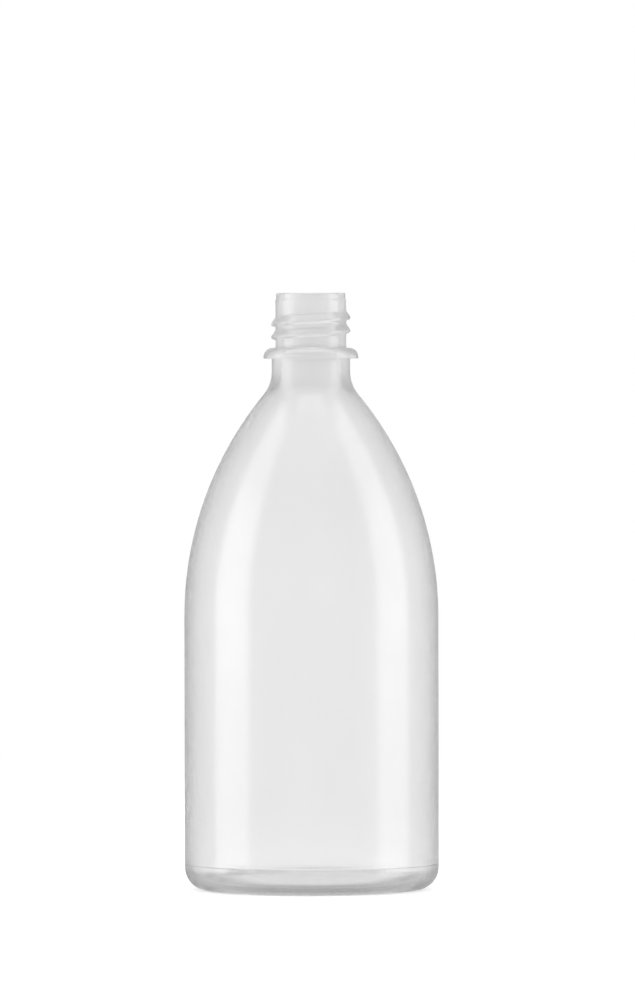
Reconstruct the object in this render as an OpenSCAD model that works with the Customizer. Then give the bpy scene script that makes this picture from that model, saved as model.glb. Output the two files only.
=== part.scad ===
// Narrow-neck bottle for liquids, blow moulded in one piece from natural low-density polyethylene.
// The Z axis is the axis of the bottle, and its standing ring rests on the floor at z = 0.

/* [Body] */
// Outside diameter of the straight body
body_d = 76.2; // [66:0.1:90]
// Height at which the body ends and the shoulder starts
shoulder_z = 82; // [50:0.5:120]
// Radius of the long arc of the shoulder
shoulder_r = 104.7; // [80:0.1:140]
// Wall of the body and the shoulder
body_wall = 1.1; // [0.8:0.05:1.8]
// Height above the heel of the fine line where the base insert met the rest of the mould
insert_gap = 1.3; // [0.5:0.1:8]
// Depth of that line
insert_line = 0.12; // [0.05:0.01:0.2]

/* [Base] */
// Radius of the heel, between the body and the standing ring
heel_r = 6.7; // [4:0.1:7.5]
// Width of the flat of the standing ring
foot_w = 2; // [1:0.1:5]
// Rounding at the inner edge of the standing ring
foot_round = 1; // [0.5:0.1:1.2]
// Height of the middle of the recess inside the standing ring
push_up = 3.5; // [2:0.1:6]
// Floor of the bottle, above the standing ring and in the middle
base_wall = 1.8; // [1.5:0.1:3]
// Turn of the mould's parting plane about the axis, from the XZ plane
parting_turn = 12; // [0:1:45]
// Width of the relief where the parting plane crosses the standing ring
relief_w = 8.4; // [4:0.1:12]
// Depth of that relief
relief_depth = 0.6; // [0.3:0.1:0.8]

/* [Pinch-off weld] */
// Length of the scar under the base
scar_l = 42; // [24:0.5:44]
// Radius across the scar
scar_r = 0.4; // [0.3:0.05:0.5]
// How far the scar stands out under the base
scar_h = 0.4; // [0.2:0.05:0.5]
// Length of the bead inside the base
bead_l = 46; // [28:0.5:48]
// Radius across the bead
bead_r = 0.85; // [0.75:0.05:0.95]
// How far the bead stands up inside the base
bead_h = 0.8; // [0.5:0.05:1]
// Radius of the lump that ends the bead on the left
lump_r = 2.2; // [1.6:0.1:2.3]

/* [Neck] */
// Outside diameter of the plain neck under the transfer ring
neck_d = 23.5; // [22:0.1:25]
// Length of the plain neck, from the end of the shoulder blend to the transfer ring
neck_l = 4.1; // [2:0.1:10]
// Radius of the hollow blend from the shoulder into the neck
blend_r = 10.3; // [7:0.1:14]
// Diameter of the bore through the neck
bore_d = 17.4; // [15:0.1:18.4]
// Radius of the blend from the bore into the shoulder, on the inside
bore_blend_r = 14; // [9:0.1:16]

/* [Transfer ring] */
// Diameter of the transfer ring
ring_d = 28.4; // [27.4:0.1:31]
// Height of the transfer ring
ring_h = 3.2; // [2.9:0.1:4]
// Upright edge of the transfer ring, under its rounding
ring_edge = 0.5; // [0.2:0.1:1.5]

/* [Mouth] */
// Height of the finish, from the top of the transfer ring to the rim
finish_h = 16.4; // [15.6:0.1:20]
// Root diameter of the threaded finish
core_d = 21.2; // [21:0.1:22]
// Step from there in to the plain lip above the thread
lip_step = 0.2; // [0.1:0.05:0.5]
// Height of the plain lip
lip_h = 1.9; // [1:0.1:3]
// Rounding at both edges of the rim
rim_round = 0.3; // [0.1:0.05:0.5]

/* [Thread] */
// Depth of the thread, from its root to its crest
thread_depth = 1.25; // [0.8:0.05:1.6]
// Rise of the thread in one turn
pitch = 3.9; // [3.6:0.1:4.2]
// Length of the thread in turns
thread_turns = 1.8; // [1.2:0.05:2]
// Height of the start of the thread above the transfer ring
thread_z = 2.5; // [2.2:0.1:3]
// Direction of the start of the thread about the axis
thread_start = 125; // [0:5:355]
// Width of the crest
crest_w = 0.75; // [0.5:0.05:1]
// Height of the sloped upper flank
upper_flank = 1.8; // [1.2:0.1:2]
// Height of the steep lower flank, which the closure pulls on
lower_flank = 0.35; // [0.2:0.05:0.6]
// Angle over which each end of the thread fades into the neck
run_out = 35; // [20:5:60]

/* [Hidden] */
$fn = 128;

body_r = body_d / 2;
neck_r = neck_d / 2;
bore_r = bore_d / 2;
core_r = core_d / 2;
lip_r = core_r - lip_step;
ring_r = ring_d / 2;
ring_round = ring_h - ring_edge;
inside_r = body_r - body_wall;
inside_heel_r = heel_r - body_wall;
insert_z = heel_r + insert_gap;
// Outer edge of the flat of the standing ring, where the heel ends
foot_r = body_r - heel_r;
recess_r = foot_r - foot_w - foot_round;

// Radius of an arc that rises by h over the middle of a chord of half length c
function arc_over(c, h) = (c ^ 2 + h ^ 2) / (2 * h);
// Height of a dome of radius r, crown at z, above a point x from its axis
function dome_z(r, z, x) = z - r + sqrt(r ^ 2 - x ^ 2);

// The recess and the floor over it are shallow domes, large circles that need more facets.
// The dome of the floor ends a little way up the heel.
dome_fn = 4 * $fn;
recess_dome_r = arc_over(recess_r, push_up - foot_round);
floor_dome_r = arc_over(foot_r + foot_round, push_up);
floor_z = base_wall + push_up;

// The shoulder is an arc tangent to the body, and a hollow blend leads from it into the neck
shoulder_centre = body_r - shoulder_r;
// Height at which a blend ends in the upright wall of a neck of radius r
function blend_top(r, blend, arc) =
    shoulder_z + sqrt((arc + blend) ^ 2 - (r + blend - shoulder_centre) ^ 2);
// How far below that it meets the arc of the shoulder
function blend_drop(top, blend, arc) = (top - shoulder_z) * blend / (arc + blend);

ring_z = blend_top(neck_r, blend_r, shoulder_r) + neck_l;
finish_z = ring_z + ring_h;
rim_z = finish_z + finish_h;

// The thread is drawn from sections this many degrees apart, each sunk this far into the neck
thread_step = 7.5;
thread_bite = 0.25;
thread_sweep = 360 * thread_turns;
weld_fn = 48;

// Half section of a round vessel with a neck, filled from the axis, from its floor up to rim
module vessel_section(r, heel, floor, arc, blend, neck, rim) {
    top = blend_top(neck, blend, arc);
    drop = blend_drop(top, blend, arc);
    translate([0, floor]) square([r - heel, shoulder_z - floor]);
    translate([0, floor + heel]) square([r, shoulder_z - floor - heel]);
    translate([r - heel, floor + heel]) circle(heel);
    intersection() {
        translate([shoulder_centre, shoulder_z]) circle(arc);
        translate([0, shoulder_z]) square([body_d, top - shoulder_z]);
    }
    translate([0, top]) difference() {
        translate([0, -drop]) square([neck + blend, drop]);
        translate([neck + blend, 0]) circle(blend);
    }
    translate([0, shoulder_z]) square([neck, rim - shoulder_z]);
}

// Transfer ring: flat below, with its upper edge well rounded
module ring_section() {
    square([ring_r, ring_edge]);
    square([ring_r - ring_round, ring_h]);
    intersection() {
        translate([ring_r - ring_round, ring_edge]) circle(ring_round);
        square([ring_r, ring_h]);
    }
}

// Threaded part of the finish, and the lip above it
module finish_section() {
    square([core_r, finish_h - lip_h]);
    square([lip_r, finish_h - rim_round]);
    square([lip_r - rim_round, finish_h]);
    translate([lip_r - rim_round, finish_h - rim_round]) circle(rim_round);
}

// Recess under the base: a shallow dome that starts at the rounded edge of the standing ring
module recess_section() {
    intersection() {
        translate([0, push_up - recess_dome_r]) circle(recess_dome_r, $fn = dome_fn);
        square([recess_r, 2 * push_up]);
    }
    difference() {
        square([recess_r + foot_round, foot_round]);
        translate([recess_r + foot_round, foot_round]) circle(foot_round);
    }
}

module outside_section() {
    difference() {
        vessel_section(body_r, heel_r, 0, shoulder_r, blend_r, neck_r, ring_z);
        recess_section();
        translate([body_r, insert_z]) circle(insert_line, $fn = weld_fn);
    }
    translate([0, ring_z]) ring_section();
    translate([0, finish_z]) finish_section();
}

// The hollow: its floor is raised over the recess, and the bore opens out at the rim
module inside_section() {
    difference() {
        vessel_section(inside_r, inside_heel_r, base_wall, shoulder_r - body_wall,
                       bore_blend_r, bore_r, rim_z);
        translate([0, floor_z - floor_dome_r]) circle(floor_dome_r, $fn = dome_fn);
    }
    translate([0, rim_z - rim_round]) difference() {
        square([bore_r + rim_round, 2 * rim_round]);
        translate([bore_r + rim_round, 0]) circle(rim_round);
    }
}

// Shallow hollow across the standing ring, which keeps the parting line clear of the floor
module parting_relief() {
    relief_r = arc_over(relief_w / 2, relief_depth);
    translate([0, 0, relief_depth - relief_r]) rotate([0, 90, 0])
        cylinder(h = body_d, r = relief_r, center = true, $fn = dome_fn);
}

// The blown shell: body, base, neck and finish, with one wall all round
module shell() {
    color("whitesmoke") difference() {
        rotate_extrude() difference() {
            outside_section();
            inside_section();
        }
        rotate(parting_turn) parting_relief();
    }
}

// Round bar of radius r along the XZ plane, over a dome of radius dome_r whose crown is at z.
// Its top stands the given rise above the dome.
module weld_bar(length, r, dome_r, z, rise) {
    arc_r = dome_r + rise - r;
    half_angle = asin(length / 2 / arc_r);
    translate([0, 0, z - dome_r]) rotate([90, 0, 0])
        rotate_extrude(angle = 2 * half_angle, start = 90 - half_angle)
            translate([arc_r, 0]) circle(r, $fn = weld_fn);
}

// Weld where the mould pinched off the tube: a scar below and a bead inside that ends in a lump
module pinch_weld() {
    lump_x = bead_l / 2;
    color("whitesmoke") {
        weld_bar(scar_l, scar_r, recess_dome_r, push_up, 2 * scar_r - scar_h);
        weld_bar(bead_l, bead_r, floor_dome_r, floor_z, bead_h);
        translate([-lump_x, 0, dome_z(floor_dome_r, floor_z, lump_x) + bead_h])
            sphere(lump_r, $fn = weld_fn);
    }
}

// Share of its full depth that the thread has at angle a along it, 0 where it has faded out
function thread_share(a) =
    let(t = min(1, a / run_out, (thread_sweep - a) / run_out)) t * t * (3 - 2 * t);

// Section of the thread at angle a along it, as [radius, height] points from its lower root up
function thread_section(a) =
    let(half_bite = thread_bite / 2,
        root = core_r - thread_bite,
        crest = core_r - half_bite + (thread_depth + half_bite) * thread_share(a),
        flank_share = (crest - root) / thread_depth,
        chamfer = crest_w / 5,
        z = thread_z + pitch * a / 360,
        low = z - crest_w / 2,
        high = z + crest_w / 2)
    [[root, low - lower_flank * flank_share],
     [crest - chamfer, low],
     [crest, low + chamfer],
     [crest, high - chamfer],
     [crest - chamfer, high],
     [root, high + upper_flank * flank_share]];

// Right-hand buttress thread with one start, from the top of the transfer ring up
module thread() {
    count = round(thread_sweep / thread_step);
    sections = [for (i = [0:count]) thread_section(thread_sweep * i / count)];
    n = len(sections[0]);
    points = [for (i = [0:count], p = sections[i])
        let(a = thread_start + thread_sweep * i / count) [p.x * cos(a), p.x * sin(a), p.y]];
    sides = [for (i = [0:count - 1], j = [0:n - 1])
        let(a = i * n + j, b = i * n + (j + 1) % n) each [[a, b, b + n], [a, b + n, a + n]]];
    ends = [[for (j = [n - 1:-1:0]) j], [for (j = [0:n - 1]) count * n + j]];
    color("whitesmoke") polyhedron(points, concat(sides, ends));
}

module bottle() {
    shell();
    rotate(parting_turn) pinch_weld();
    translate([0, 0, finish_z]) thread();
}

bottle();
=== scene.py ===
import math

import bpy
import numpy as np
from mathutils import Matrix, Quaternion, Vector


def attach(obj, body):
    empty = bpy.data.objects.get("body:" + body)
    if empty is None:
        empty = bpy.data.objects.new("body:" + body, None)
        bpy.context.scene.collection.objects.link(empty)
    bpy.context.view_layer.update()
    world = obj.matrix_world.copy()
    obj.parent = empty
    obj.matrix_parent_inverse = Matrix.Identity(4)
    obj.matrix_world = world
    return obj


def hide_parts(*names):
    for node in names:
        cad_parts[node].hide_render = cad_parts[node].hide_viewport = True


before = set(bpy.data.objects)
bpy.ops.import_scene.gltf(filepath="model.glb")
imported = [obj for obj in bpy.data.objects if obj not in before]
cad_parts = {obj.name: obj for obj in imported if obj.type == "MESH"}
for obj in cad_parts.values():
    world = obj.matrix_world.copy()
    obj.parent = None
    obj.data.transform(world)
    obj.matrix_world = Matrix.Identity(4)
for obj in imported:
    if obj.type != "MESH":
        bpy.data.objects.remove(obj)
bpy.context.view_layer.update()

mm = 0.001


def linear(code):
    # sRGB hex to the linear colour that the sockets take
    channels = [int(code[i:i + 2], 16) / 255 for i in (1, 3, 5)]
    return tuple(c / 12.92 if c <= 0.04045 else ((c + 0.055) / 1.055) ** 2.4 for c in channels) + (1.0,)


def addNode(tree, kind, settings=None, links=None):
    node = tree.nodes.new(kind)
    for key, value in (settings or {}).items():
        if isinstance(key, str) and hasattr(node, key):
            setattr(node, key, value)
        else:
            node.inputs[key].default_value = value
    for key, source in (links or {}).items():
        tree.links.new(source, node.inputs[key])
    return node


def smooth(t):
    t = np.clip(t, 0, 1)
    return t * t * (3 - 2 * t)


# The bottle, in millimetres and degrees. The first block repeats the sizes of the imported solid.
bottle = {
    "bodyR": 38.1, "shoulderZ": 82.0, "shoulderR": 104.7, "wall": 1.1, "insertZ": 8.0,
    "heelR": 6.7, "footIn": 29.4, "footOut": 31.4, "footRound": 1.0, "pushUp": 3.5, "baseWall": 1.8,
    "partingTurn": 12.0, "reliefW": 8.4, "reliefDepth": 0.6,
    "scarL": 42.0, "scarR": 0.4, "beadL": 46.0, "beadR": 0.85, "beadH": 0.8, "lumpR": 2.2,
    "neckR": 11.75, "neckL": 4.1, "blendR": 10.3, "boreR": 8.7, "boreBlendR": 14.0,
    "ringR": 14.2, "ringH": 3.2, "ringEdge": 0.5,
    "coreR": 10.6, "lipR": 10.4, "finishH": 16.4, "lipH": 1.9, "rimRound": 0.3,
    "threadDepth": 1.25, "pitch": 3.9, "threadTurns": 1.8, "threadZ": 2.5, "threadStart": 125.0,
    "crestW": 0.75, "upperFlank": 1.8, "lowerFlank": 0.35, "runOut": 35.0,
    # what only the looks add or change
    "ringTrim": 0.32,        # how much less the transfer ring stands out at its front and back
    "ringTrimR": 15.0,       # radius of its arc there
    "ringRoot": 0.3,         # the rounded root of the ring's top
    "lumpHalf": 3.8,         # the lump is drawn out along the weld, where the solid has a ball
    "cornerSoft": 0.13,      # how far a moulded corner is rounded off
    "threadSoft": 0.2,       # the same for the thread
    "seamH": 0.06, "seamHalf": 0.28,    # the fine line where the mould halves met
    "insertDepth": 0.06, "insertHalf": 0.14,    # the line of the base insert, half as deep as in the solid
    # unevenness of the blown wall on the inside, and of the outside after shrinkage:
    # size, seed, then how many waves go round, how tall one is, and its share
    "wallWave": (0.02, 9, [(2, 70, 1), (3, 46, 0.8), (5, 31, 0.6), (8, 23, 0.35)]),
    "skinWave": (0.008, 4, [(2, 90, 1), (3, 60, 0.7), (5, 38, 0.4)]),
    "skinOver": 0.02,        # how far the swells may stand out past the body
    # how milky the plastic looks: share, the height where it starts, and over how much it grows, downwards
    # where that is negative
    "milky": [(0.94, 141, 20), (0.06, 105, 40), (-0.12, 26, -18), (-0.15, 11, -5)],
    "milkyLift": 1.2, "milkyLiftMax": 2.5,    # the weld's bead and lump are thick, so they look whiter
    # widest distances between the rows of the mesh
    "rowBody": 3.6, "rowShoulder": 3.0, "rowNeck": 1.6, "rowThread": 0.13, "rowInsert": 0.1, "rowRing": 0.11,
    "rowRecess": 1.5, "rowScarEnd": 0.25, "rowFoot": 0.45, "rowInside": 3.8, "rowBore": 2.2, "rowFloor": 1.3,
    "rowBeadEnd": 0.22,
}


def arcPoints(cx, cz, radius, fromDeg, toDeg, step=0.05):
    count = max(3, int(abs(math.radians(toDeg - fromDeg)) * radius / step))
    a = np.radians(np.linspace(fromDeg, toDeg, count))
    return np.column_stack([cx + radius * np.cos(a), cz + radius * np.sin(a)])


def joinPoints(parts, step=0.05):
    # one dense polyline through arcs and corners, the straight stretches filled in at the same step
    points = [np.array(parts[0], float).reshape(-1, 2)[0]]
    for part in parts:
        for p in np.array(part, float).reshape(-1, 2):
            gap = np.linalg.norm(p - points[-1])
            if gap < 1e-6:
                continue
            count = max(1, int(gap / step))
            start = points[-1]
            points += [start + (p - start) * i / count for i in range(1, count + 1)]
    return np.array(points)


def domeZ(radius, crown, x):
    return crown - radius + np.sqrt(np.maximum(radius ** 2 - np.asarray(x, float) ** 2, 0))


def bottleSection(b):
    centreX = b["bodyR"] - b["shoulderR"]
    arcOver = lambda c, h: (c ** 2 + h ** 2) / (2 * h)
    recessR = b["footIn"] - b["footRound"]
    recessDome = arcOver(recessR, b["pushUp"] - b["footRound"])
    floorDome = arcOver(b["footOut"] + b["footRound"], b["pushUp"])
    floorZ = b["baseWall"] + b["pushUp"]

    def blend(neck, radius, arc):
        top = b["shoulderZ"] + math.sqrt((arc + radius) ** 2 - (neck + radius - centreX) ** 2)
        angle = math.degrees(math.asin((top - b["shoulderZ"]) / (arc + radius)))
        return top, angle

    top, turn = blend(b["neckR"], b["blendR"], b["shoulderR"])
    ringZ = top + b["neckL"]
    finishZ = ringZ + b["ringH"]
    rimZ = finishZ + b["finishH"]
    ringRound = b["ringH"] - b["ringEdge"]
    recessAngle = math.degrees(math.asin(recessR / recessDome))
    outside = joinPoints([
        arcPoints(0, b["pushUp"] - recessDome, recessDome, 90, 90 - recessAngle),
        arcPoints(b["footIn"], b["footRound"], b["footRound"], 180, 270),
        [[b["footOut"], 0]],
        arcPoints(b["footOut"], b["heelR"], b["heelR"], -90, 0),
        arcPoints(centreX, b["shoulderZ"], b["shoulderR"], 0, turn),
        arcPoints(b["neckR"] + b["blendR"], top, b["blendR"], 180 + turn, 180),
        [[b["neckR"], ringZ], [b["ringR"], ringZ], [b["ringR"], ringZ + b["ringEdge"]]],
        arcPoints(b["ringR"] - ringRound, ringZ + b["ringEdge"], ringRound, 0, 90),
        arcPoints(b["coreR"] + b["ringRoot"], finishZ + b["ringRoot"], b["ringRoot"], 270, 180),
        [[b["coreR"], rimZ - b["lipH"]], [b["lipR"], rimZ - b["lipH"]]],
        arcPoints(b["lipR"] - b["rimRound"], rimZ - b["rimRound"], b["rimRound"], 0, 90),
        [[b["boreR"] + b["rimRound"], rimZ]]])
    arc = b["shoulderR"] - b["wall"]
    boreTop, boreTurn = blend(b["boreR"], b["boreBlendR"], arc)
    heelIn = b["heelR"] - b["wall"]
    heel = arcPoints(b["footOut"], b["baseWall"] + heelIn, heelIn, 0, -90)
    heel = heel[heel[:, 1] > domeZ(floorDome, floorZ, heel[:, 0])]
    floorAngle = math.degrees(math.asin(heel[-1, 0] / floorDome))
    inside = joinPoints([
        arcPoints(b["boreR"] + b["rimRound"], rimZ - b["rimRound"], b["rimRound"], 90, 180),
        [[b["boreR"], boreTop]],
        arcPoints(b["boreR"] + b["boreBlendR"], boreTop, b["boreBlendR"], 180, 180 + boreTurn),
        arcPoints(centreX, b["shoulderZ"], arc, boreTurn, 0),
        heel,
        arcPoints(0, floorZ - floorDome, floorDome, 90 - floorAngle, 90)])
    heights = {"ringZ": ringZ, "finishZ": finishZ, "rimZ": rimZ, "recessDome": recessDome,
               "floorDome": floorDome, "floorZ": floorZ, "neckTop": top, "boreTop": boreTop}
    return outside, inside, heights


def soften(points, reach, step=0.05):
    # rounds the corners of a dense polyline and leaves its straight stretches and long arcs as they are
    half = int(3 * reach / step)
    weights = np.exp(-0.5 * (np.arange(-half, half + 1) * step / reach) ** 2)
    weights /= weights.sum()
    padded = np.vstack([2 * points[0] - points[half:0:-1], points, 2 * points[-1] - points[-2:-half - 2:-1]])
    return np.column_stack([np.convolve(padded[:, k], weights, "valid") for k in (0, 1)])


def rowPlaces(points, widest):
    # picks rows along the section: close together where it bends, and never wider than widest(r, z)
    step = np.r_[0, np.linalg.norm(np.diff(points, axis=0), axis=1)]
    along = np.cumsum(step)
    d1 = np.gradient(points, along, axis=0)
    d2 = np.gradient(d1, along, axis=0)
    bend = np.abs(d1[:, 0] * d2[:, 1] - d1[:, 1] * d2[:, 0])
    bend = np.convolve(bend, np.ones(7) / 7, "same")
    gap = np.clip(math.radians(9) / np.maximum(bend, 1e-6), 0.07, widest(points[:, 0], points[:, 1]))
    density = np.cumsum(step / gap)
    count = int(math.ceil(density[-1]))
    wanted = np.linspace(0, density[-1], count + 1)
    place = np.interp(wanted, density, along)
    return np.column_stack([np.interp(place, along, points[:, k]) for k in (0, 1)])


def threadHeight(b, theta, z, finishZ):
    # height of the buttress thread over its root at direction theta (degrees) and height z
    best = np.zeros(np.broadcast(theta, z).shape)
    sweep = 360 * b["threadTurns"]
    start = np.mod(theta - b["threadStart"], 360)
    for turn in range(3):
        along = start + 360 * turn
        share = smooth(np.minimum(1, np.minimum(along, sweep - along) / b["runOut"]))
        share = np.where((along >= 0) & (along <= sweep), share, 0)
        above = z - (finishZ + b["threadZ"] + b["pitch"] * along / 360)
        lower = (above + b["crestW"] / 2) / b["lowerFlank"] + share
        upper = share - (above - b["crestW"] / 2) / b["upperFlank"]
        best = np.maximum(best, np.clip(np.minimum(lower, upper), 0, share))
    return best * b["threadDepth"]


def softThread(b, theta, z, finishZ):
    offsets = b["threadSoft"] * np.linspace(-1, 1, 5)
    return sum(threadHeight(b, theta, z + o, finishZ) for o in offsets) / len(offsets)


def waves(theta, z, wave):
    # slow, seeded unevenness that runs round the bottle without a join
    size, seed, scales = wave
    random = np.random.RandomState(seed)
    total = 0
    for count, height, share in scales:
        turn = count * np.radians(theta)
        rise = 2 * math.pi * z
        total = total + share * np.sin(turn + rise / height + random.uniform(0, 6.3))
        total = total + share * np.cos(turn - rise / (1.3 * height) + random.uniform(0, 6.3))
    return total / (2 * sum(s[2] for s in scales)) * size


def columnAngles(turn):
    # columns lie close together beside the mould's parting plane, where the seam and the weld are
    half = np.r_[np.arange(0, 3, 0.375), np.arange(3, 10, 0.875), np.linspace(10, 90, 45)]
    full = np.r_[half, 180 - half, 180 + half, 360 - half]
    return np.unique(np.round(np.mod(full + turn, 360), 4))


def shapeBottle(b):
    outside, inside, heights = bottleSection(b)
    outside, inside = soften(outside, b["cornerSoft"]), soften(inside, b["cornerSoft"])
    outside[0, 0] = inside[-1, 0] = 0
    threadLow = heights["finishZ"] + b["threadZ"] - b["crestW"] / 2 - b["lowerFlank"] - 0.3
    threadHigh = (heights["finishZ"] + b["threadZ"] + b["pitch"] * b["threadTurns"] + b["crestW"] / 2
                  + b["upperFlank"] + 0.2)

    def outsideGap(r, z):
        overRing = z - heights["ringZ"]
        gap = np.where(z > 90, b["rowShoulder"], b["rowBody"])
        gap = np.where(z > 140, b["rowNeck"], gap)
        gap = np.where((z > threadLow) & (z < threadHigh) & (r > b["boreR"] + 1), b["rowThread"], gap)
        gap = np.where(abs(z - b["insertZ"]) < 0.4, b["rowInsert"], gap)
        gap = np.where((overRing > 0.2) & (overRing < 2) & (r > b["neckR"] + 1), b["rowRing"], gap)
        gap = np.where((z < 6) & (r < b["footIn"]), b["rowRecess"], gap)
        gap = np.where((z < 6) & (abs(r - b["scarL"] / 2) < 1), b["rowScarEnd"], gap)
        return np.where((z < 1.6) & (r > 26), b["rowFoot"], gap)

    def insideGap(r, z):
        gap = np.where(z > 140, b["rowBore"], b["rowInside"])
        gap = np.where((z < 8) & (r < 33), b["rowFloor"], gap)
        return np.where((z < 8) & (abs(r - b["beadL"] / 2) < 2.5), b["rowBeadEnd"], gap)

    outRows = rowPlaces(outside, outsideGap)
    inRows = rowPlaces(inside, insideGap)
    rows = np.vstack([outRows, inRows[1:]])
    isOut = np.arange(len(rows)) < len(outRows)
    theta = columnAngles(b["partingTurn"])

    # the thick neck cools slowly and turns whiter, and the heel is a little clearer than the body
    milky = sum(share * smooth((rows[:, 1] - start) / spread) for share, start, spread in b["milky"])

    t = theta[None, :]
    r = np.repeat(rows[:, :1], len(theta), axis=1)
    z = np.repeat(rows[:, 1:], len(theta), axis=1)
    out = isOut[:, None]

    # thread, on the outside of the finish
    inFinish = out & (z > heights["finishZ"] + 0.4) & (z < heights["rimZ"] - b["lipH"]) & (r > b["boreR"] + 1)
    screw = softThread(b, t, z, heights["finishZ"])
    screw = np.where(inFinish, screw, 0)

    # distance from the parting plane, and along it, of each point
    away = np.radians(t - b["partingTurn"])
    across, ahead = r * np.sin(away), r * np.cos(away)
    offPlane = np.abs((t - b["partingTurn"] + 90) % 180 - 90)
    seam = np.clip(1 - np.radians(offPlane) * r / b["seamHalf"], 0, 1) * b["seamH"]
    seam = np.where(out & (z > 0.7) & (r > 8.9) & (z < heights["rimZ"] - 0.2), seam, 0)

    # line of the base insert, and the unevenness, which fades towards the foot and the neck
    fromLine = (z - b["insertZ"]) / b["insertHalf"]
    groove = np.where(out & (z < 20), -b["insertDepth"] * np.exp(-fromLine ** 2), 0)
    skin = np.where(out, waves(t, z, b["skinWave"]), 0)
    skin = skin * smooth(np.minimum(z / 12, (heights["neckTop"] - 2 - z) / 20))
    flow = np.where(~out, waves(t, z, b["wallWave"]), 0)
    flow = flow * smooth(np.minimum((z - 6) / 14, (heights["boreTop"] - z) / 60))
    # the seam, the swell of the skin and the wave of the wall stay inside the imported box
    newR = np.maximum(r + screw + seam + groove + skin + flow, 0)
    newR = np.where(out & (z < heights["neckTop"]), np.minimum(newR, b["bodyR"] + b["skinOver"]), newR)

    # the transfer ring stands out a little less at the front and the back, on an arc flatter than the ring
    side = np.abs(np.sin(np.radians(t)))
    centre = b["ringR"] - b["ringTrim"] - b["ringTrimR"]
    trim = centre * side + np.sqrt(b["ringTrimR"] ** 2 - centre ** 2 * (1 - side ** 2))
    inRing = out & (z > heights["ringZ"] - 0.3) & (z < heights["finishZ"] + 0.2) & (r > b["neckR"])
    newR = np.where(inRing, np.minimum(newR, trim), newR)

    # relief where the parting plane crosses the standing ring
    reliefR = (b["reliefW"] ** 2 / 4 + b["reliefDepth"] ** 2) / (2 * b["reliefDepth"])
    hollow = b["reliefDepth"] - reliefR + np.sqrt(np.maximum(reliefR ** 2 - across ** 2, 0))
    z = np.where(out & (z < 3) & (r > 20), np.maximum(z, hollow), z)

    # pinch-off scar below, bead and lump inside
    def bar(width, rise, length):
        height = np.sqrt(np.maximum(width ** 2 - across ** 2, 0)) - (width - rise)
        return np.maximum(height, 0) * smooth((length / 2 - np.abs(ahead)) / (0.6 * width))
    z = np.where(out & (rows[:, 1:] < 6) & (r < 28), z - bar(b["scarR"], b["scarR"], b["scarL"]), z)
    lump = 1 - (across / b["lumpR"]) ** 2 - ((ahead + b["beadL"] / 2) / b["lumpHalf"]) ** 2
    lump = np.where(lump > 0, np.sqrt(np.maximum(lump, 0)) * b["lumpR"] + b["beadH"] * smooth(4 * lump), 0)
    onFloor = ~out & (rows[:, 1:] < 8) & (r < 32)
    lift = np.where(onFloor, np.maximum(bar(b["beadR"], b["beadH"], b["beadL"]), lump), 0)
    z = z + lift

    # vertices: one pole below, the grid, one pole on the floor
    grid = slice(1, len(rows) - 1)
    angle = np.radians(theta)[None, :]
    x, y = newR[grid] * np.cos(angle), newR[grid] * np.sin(angle)
    verts = np.stack([x, y, z[grid]], axis=-1).reshape(-1, 3)
    verts = np.vstack([[[0, 0, z[0].mean()]], verts, [[0, 0, z[-1].mean()]]]) * mm
    whiter = milky[:, None] + b["milkyLift"] * np.minimum(lift, b["milkyLiftMax"])
    milky = np.r_[milky[0], whiter[grid].reshape(-1), milky[-1]]

    columns, lines = len(theta), len(rows) - 2
    i, j = np.meshgrid(np.arange(lines - 1), np.arange(columns), indexing="ij")
    nextJ = (j + 1) % columns
    quads = np.stack([1 + i * columns + j, 1 + i * columns + nextJ,
                      1 + (i + 1) * columns + nextJ, 1 + (i + 1) * columns + j], axis=-1).reshape(-1, 4)
    last = 1 + (lines - 1) * columns
    pairs = [(k, (k + 1) % columns) for k in range(columns)]
    caps = [(1 + m, 1 + k, 0) for k, m in pairs]
    caps += [(len(verts) - 1, last + k, last + m) for k, m in pairs]
    return verts, [tuple(map(int, q)) for q in quads], caps, milky


def makeBottle(b):
    verts, quads, caps, milky = shapeBottle(b)
    mesh = bpy.data.meshes.new("blownBottle")
    mesh.from_pydata(verts.tolist(), [], quads + caps)
    mesh.validate()
    mesh.polygons.foreach_set("use_smooth", [True] * len(mesh.polygons))
    mesh.attributes.new("milkiness", "FLOAT", "POINT").data.foreach_set("value", milky.astype(np.float32))
    mesh.update()
    piece = bpy.data.objects.new("blownBottle", mesh)
    bpy.context.collection.objects.link(piece)
    print("bottle:", len(verts), "points,", len(quads) * 2 + len(caps), "triangles")
    return piece


# The plastic: natural low-density polyethylene, blown in a blasted mould
plastic = {
    "tint": "#F8F8F8",       # milky, all but colourless
    "ior": 1.51,
    "bodyClear": 0.968,      # share of the light that the wall of the body lets straight through
    "neckClear": 0.76,       # and the thicker, milkier neck
    "bodyRough": 0.19, "neckRough": 0.22,
    "grainMm": 0.9,          # blasted texture, really about 0.2 mm, drawn coarser so that it shows
    "grainRough": 0.015, "grainBump": 0.04, "grainDepth": 0.0001,
    "flowMm": 26.0,          # soft streaks from the flow of the melt
    "flowStretch": 0.3, "flowHaze": 0.015,
}


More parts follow.
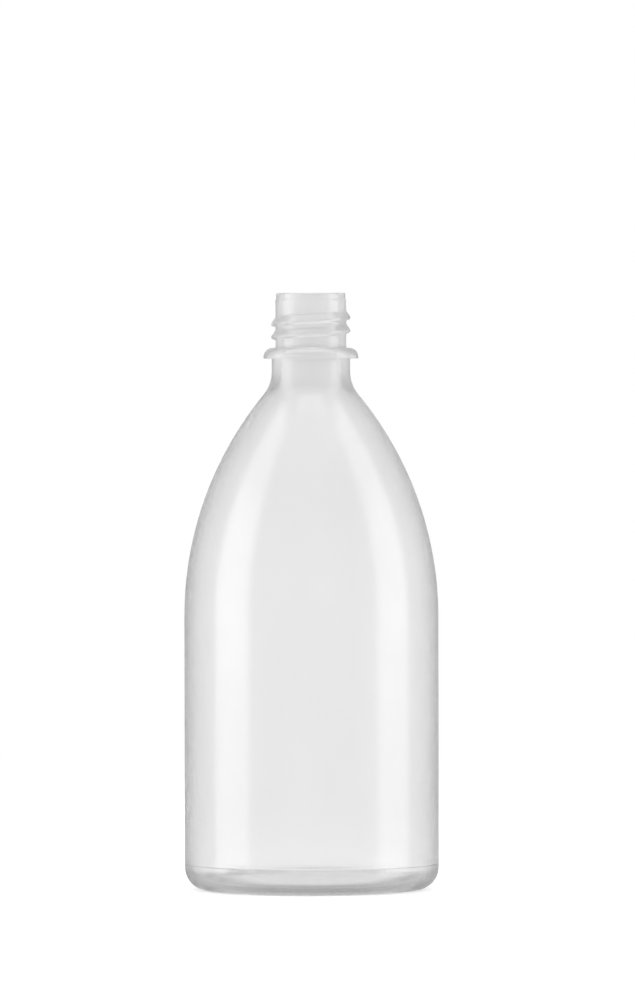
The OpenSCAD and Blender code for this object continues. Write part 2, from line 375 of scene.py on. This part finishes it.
def milkyPolyethylene(p):
    # Natural LDPE, blow-moulded: milky and see-through where thin, whiter where thick, with a satin skin
    # from the blasted mould and faint flow streaks along the wall.
    material = bpy.data.materials.new("blownMilkyPolyethylene")
    material.use_nodes = True
    tree = material.node_tree
    tree.nodes.clear()
    coords = addNode(tree, "ShaderNodeTexCoord").outputs["Object"]
    milky = addNode(tree, "ShaderNodeAttribute", {"attribute_name": "milkiness"}).outputs["Fac"]
    streakSpace = addNode(tree, "ShaderNodeMapping", {"Scale": (1, 1, p["flowStretch"])},
                          {"Vector": coords}).outputs[0]
    streaks = addNode(tree, "ShaderNodeTexNoise",
                      {"Scale": 1000 / p["flowMm"], "Detail": 3.0, "Roughness": 0.55},
                      {"Vector": streakSpace}).outputs["Fac"]
    grain = addNode(tree, "ShaderNodeTexNoise",
                    {"Scale": 1000 / p["grainMm"], "Detail": 2.0, "Roughness": 0.6},
                    {"Vector": coords}).outputs["Fac"]

    def fromBodyToNeck(body, neck):
        return addNode(tree, "ShaderNodeMapRange", {"clamp": False, "To Min": p[body], "To Max": p[neck]},
                       {"Value": milky}).outputs[0]

    def varied(value, noise, low, high):
        # adds a noise to the value, from low in its valleys to high on its peaks
        change = addNode(tree, "ShaderNodeMapRange",
                         {"From Min": 0.3, "From Max": 0.7, "To Min": low, "To Max": high},
                         {"Value": noise}).outputs[0]
        return addNode(tree, "ShaderNodeMath", {"operation": "ADD", "use_clamp": True},
                       {0: value, 1: change}).outputs[0]

    clear = varied(fromBodyToNeck("bodyClear", "neckClear"), streaks, p["flowHaze"], -p["flowHaze"])
    rough = varied(fromBodyToNeck("bodyRough", "neckRough"), grain, -p["grainRough"], p["grainRough"])
    bump = addNode(tree, "ShaderNodeBump", {"Strength": p["grainBump"], "Distance": p["grainDepth"]},
                   {"Height": grain}).outputs[0]
    shader = addNode(tree, "ShaderNodeBsdfPrincipled",
                     {"Base Color": linear(p["tint"]), "IOR": p["ior"], "Metallic": 0.0},
                     {"Transmission Weight": clear, "Roughness": rough, "Normal": bump})
    addNode(tree, "ShaderNodeOutputMaterial", None, {"Surface": shader.outputs[0]})
    return material


# Lamps and backdrop, in metres and degrees
studio = {
    "floorColour": "#F4F4F4", "floorLift": 0.4, "floorFade": (0.25, 0.9), "floorRadius": 1.6,
    "floorBelow": 0.00002,   # the floor lies a hair below the standing ring
    # painted shadow: the dark ring where the bottle stands, as rays through the plastic see it
    "paintedShadowR": 0.031, "paintedShadowHalf": 0.002, "paintedShadowGrey": 0.4,
    "worldForObject": 0.62,  # how bright the room is for the light that the plastic scatters
    # softboxes, one line each: side, angle round from the camera, half angle, foot, top, radiance
    "boxes": [(-1, 77.5, 19.0, -0.45, 0.85, 2.1), (-1, 77.5, 19.0, 0.85, 2.1, 1.55),
              (1, 79.8, 18.0, -0.45, 0.85, 1.85), (1, 79.8, 18.0, 0.85, 2.1, 1.5)],
    "boxDistance": 1.2, "topRadiance": 1.2, "topSize": 0.9, "topZ": 1.7,
    # grey of the cards that darken the edges of the plastic, by angle round from the camera's side
    "cardDistance": 1.5, "cardAngles": [0, 50, 56, 100, 104, 110, 126, 133, 140, 150, 165, 180],
    "cardGreys": [0.75, 0.6, 0.5, 0.5, 0.6, 0.5, 0.5, 0.36, 0.28, 0.28, 0.32, 0.45],
    # heights of the cards, each with the share of the grey there, at the sides and at the back
    "cardHeights": [(-0.9, 1.9, 1.9), (-0.05, 1.3, 1.3), (0.08, 1.0, 1.0), (0.3, 1.4, 1.4),
                    (0.7, 0.9, 1.8), (1.3, 0.4, 1.4), (2.2, 0.9, 1.2)],
    "cardBack": [138, 155],  # the sides run over into the back between these angles
}


def around(angle, distance, height):
    # a place at that angle round from the camera's side, in metres
    a = math.radians(angle)
    return Vector((math.sin(a) * distance, -math.cos(a) * distance, height))


def aim(obj, target):
    obj.rotation_euler = (Vector(target) - obj.location).to_track_quat("-Z", "Y").to_euler()


def atLeastOne(tree, first, second):
    # 1 where either of two shares is 1
    return addNode(tree, "ShaderNodeMath", {"operation": "MAXIMUM"}, {0: first, 1: second}).outputs[0]


def makeRoom(s):
    # white to the camera and through the plastic, dimmer as a light on the object
    world = bpy.data.worlds.new("whiteRoom")
    bpy.context.scene.world = world
    world.use_nodes = True
    tree = world.node_tree
    tree.nodes.clear()
    path = addNode(tree, "ShaderNodeLightPath").outputs
    seen = atLeastOne(tree, path["Is Camera Ray"], path["Is Glossy Ray"])
    seen = atLeastOne(tree, seen, path["Is Transmission Ray"])
    strength = addNode(tree, "ShaderNodeMapRange", {"To Min": s["worldForObject"], "To Max": 1.0},
                       {"Value": seen}).outputs[0]
    back = addNode(tree, "ShaderNodeBackground", {"Color": (1, 1, 1, 1)}, {"Strength": strength})
    addNode(tree, "ShaderNodeOutputWorld", None, {"Surface": back.outputs[0]})


def makeLamps(s):
    def lamp(name, place, target, width, height, radiance):
        light = bpy.data.lights.new(name, "AREA")
        light.shape = "RECTANGLE"
        light.size, light.size_y = width, height
        light.energy = radiance * math.pi * width * height
        box = bpy.data.objects.new(name, light)
        bpy.context.collection.objects.link(box)
        box.location = place
        aim(box, target)

    for side, angle, half, foot, top, radiance in s["boxes"]:
        middle = (foot + top) / 2
        lamp("softbox", around(side * angle, s["boxDistance"], middle), (0, 0, middle),
             2 * s["boxDistance"] * math.tan(math.radians(half)), top - foot, radiance)
    lamp("topBox", Vector((0, -0.001, s["topZ"])), (0, 0, 0), s["topSize"], s["topSize"], s["topRadiance"])


def makeCards(s):
    # Grey felt: cards that only reflections see, which gives the plastic its darker edges
    felt = bpy.data.materials.new("greyFelt")
    felt.use_nodes = True
    tree = felt.node_tree
    tree.nodes.clear()
    grey = addNode(tree, "ShaderNodeAttribute", {"attribute_name": "grey"}).outputs["Fac"]
    glow = addNode(tree, "ShaderNodeEmission", {"Color": (1, 1, 1, 1)}, {"Strength": grey})
    addNode(tree, "ShaderNodeOutputMaterial", None, {"Surface": glow.outputs[0]})
    for side in (-1, 1):
        angles = np.linspace(s["cardAngles"][0], s["cardAngles"][-1], 60)
        verts = [around(side * a, s["cardDistance"], row[0]) for row in s["cardHeights"] for a in angles]
        n = len(angles)
        mesh = bpy.data.meshes.new("greyCard")
        mesh.from_pydata(verts, [], [(k * n + i, k * n + i + 1, k * n + n + i + 1, k * n + n + i)
                                     for k in range(len(s["cardHeights"]) - 1) for i in range(n - 1)])
        level = np.interp(angles, s["cardAngles"], s["cardGreys"])
        shares = [np.interp(angles, s["cardBack"], row[1:]) for row in s["cardHeights"]]
        greys = np.concatenate([level * share for share in shares]).astype(np.float32)
        mesh.attributes.new("grey", "FLOAT", "POINT").data.foreach_set("value", greys)
        mesh.materials.append(felt)
        card = bpy.data.objects.new("greyCard", mesh)
        bpy.context.collection.objects.link(card)
        for ray in ("camera", "diffuse", "transmission", "volume_scatter", "shadow"):
            setattr(card, "visible_" + ray, False)


def makeFloor(s):
    # White paper: a disc whose colour runs into the white of the room, and which keeps the bottle's shadow
    rings = [0.0, 0.1, 0.2, 0.4, 0.8, s["floorRadius"]]
    count = 96
    verts = [(0, 0, 0)] + [(r * math.cos(2 * math.pi * k / count), r * math.sin(2 * math.pi * k / count), 0)
                           for r in rings[1:] for k in range(count)]
    faces = [(0, 1 + k, 1 + (k + 1) % count) for k in range(count)]
    faces += [(1 + i * count + k, 1 + (i + 1) * count + k, 1 + (i + 1) * count + (k + 1) % count,
               1 + i * count + (k + 1) % count) for i in range(len(rings) - 2) for k in range(count)]
    mesh = bpy.data.meshes.new("floor")
    mesh.from_pydata(verts, [], faces)
    mesh.transform(Matrix.Translation((0, 0, -s["floorBelow"])))
    floor = bpy.data.objects.new("floor", mesh)
    bpy.context.collection.objects.link(floor)
    paper = bpy.data.materials.new("whitePaperFloor")
    paper.use_nodes = True
    tree = paper.node_tree
    tree.nodes.clear()
    coords = addNode(tree, "ShaderNodeTexCoord").outputs["Object"]
    reach = addNode(tree, "ShaderNodeVectorMath", {"operation": "LENGTH"}, {0: coords}).outputs["Value"]

    def softStep(value, low, high, least=0.0):
        # from least at low up to 1 at high
        return addNode(tree, "ShaderNodeMapRange",
                       {"interpolation_type": "SMOOTHSTEP", "From Min": low, "From Max": high,
                        "To Min": least},
                       {"Value": value}).outputs[0]

    far = softStep(reach, *s["floorFade"])
    path = addNode(tree, "ShaderNodeLightPath").outputs
    white = atLeastOne(tree, far, atLeastOne(tree, path["Is Transmission Ray"], path["Is Glossy Ray"]))
    lift = addNode(tree, "ShaderNodeMath", {"operation": "MULTIPLY", 1: s["floorLift"]},
                   {0: path["Is Camera Ray"]}).outputs[0]
    paperSkin = addNode(tree, "ShaderNodeBsdfDiffuse", {"Color": linear(s["floorColour"])})
    glow = addNode(tree, "ShaderNodeEmission", {"Color": (1, 1, 1, 1)}, {"Strength": lift})
    near = addNode(tree, "ShaderNodeAddShader", None, {0: paperSkin.outputs[0], 1: glow.outputs[0]})
    # rays through the plastic see the white of the room, and a painted shadow: the dark ring where the bottle
    # stands
    offRing = addNode(tree, "ShaderNodeMath", {"operation": "SUBTRACT", 1: s["paintedShadowR"]},
                      {0: reach}).outputs[0]
    offRing = addNode(tree, "ShaderNodeMath", {"operation": "ABSOLUTE"}, {0: offRing}).outputs[0]
    # painted shadow: the floor's glow drops to a grey ring under the standing ring
    paintedShadow = softStep(offRing, s["paintedShadowHalf"], 3 * s["paintedShadowHalf"], s["paintedShadowGrey"])
    roomWithPaintedShadow = addNode(tree, "ShaderNodeEmission", {"Color": (1, 1, 1, 1)}, {"Strength": paintedShadow})
    mix = addNode(tree, "ShaderNodeMixShader", None, {0: white, 1: near.outputs[0], 2: roomWithPaintedShadow.outputs[0]})
    # from below the floor is left out, so that the underside of the bottle can be looked at
    below = addNode(tree, "ShaderNodeNewGeometry").outputs["Backfacing"]
    nothing = addNode(tree, "ShaderNodeBsdfTransparent")
    mix = addNode(tree, "ShaderNodeMixShader", None, {0: below, 1: mix.outputs[0], 2: nothing.outputs[0]})
    addNode(tree, "ShaderNodeOutputMaterial", None, {"Surface": mix.outputs[0]})
    mesh.materials.append(paper)
    floor.visible_glossy = False


# The photo's place and angle, in metres and millimetres of lens. The photo is turned by a tenth of a degree.
view = {"place": (0.0019, -2.857, 0.1679), "towards": (0, 2.857, -0.051), "roll": -0.11, "lens": 342.9,
        "sensorHeight": 36.0, "farthest": 100,
        # the light has to pass many faces of the thick, clear rim and heel
        "bounces": 24, "glossyBounces": 12}


def setCamera(v):
    data = bpy.data.cameras.new("camera")
    data.sensor_fit = "VERTICAL"
    data.sensor_height = v["sensorHeight"]
    data.lens = v["lens"]
    data.clip_end = v["farthest"]
    camera = bpy.data.objects.new("camera", data)
    bpy.context.collection.objects.link(camera)
    camera.location = v["place"]
    camera.rotation_mode = "QUATERNION"
    camera.rotation_quaternion = (Vector(v["towards"]).to_track_quat("-Z", "Y")
                                  @ Quaternion((0, 0, 1), math.radians(v["roll"])))
    bpy.context.scene.camera = camera


piece = makeBottle(bottle)
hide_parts("bottle")
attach(piece, "root")
piece.data.materials.append(milkyPolyethylene(plastic))
print("plastic: on the bottle")
makeRoom(studio)
makeLamps(studio)
makeCards(studio)
makeFloor(studio)
print("studio: room, lamps, cards and floor set")
setCamera(view)
bpy.context.scene.view_settings.view_transform = "Standard"
cycles = bpy.context.scene.cycles
cycles.max_bounces = cycles.transmission_bounces = view["bounces"]
cycles.glossy_bounces = view["glossyBounces"]
print("camera: set")

bpy.context.view_layer.update()
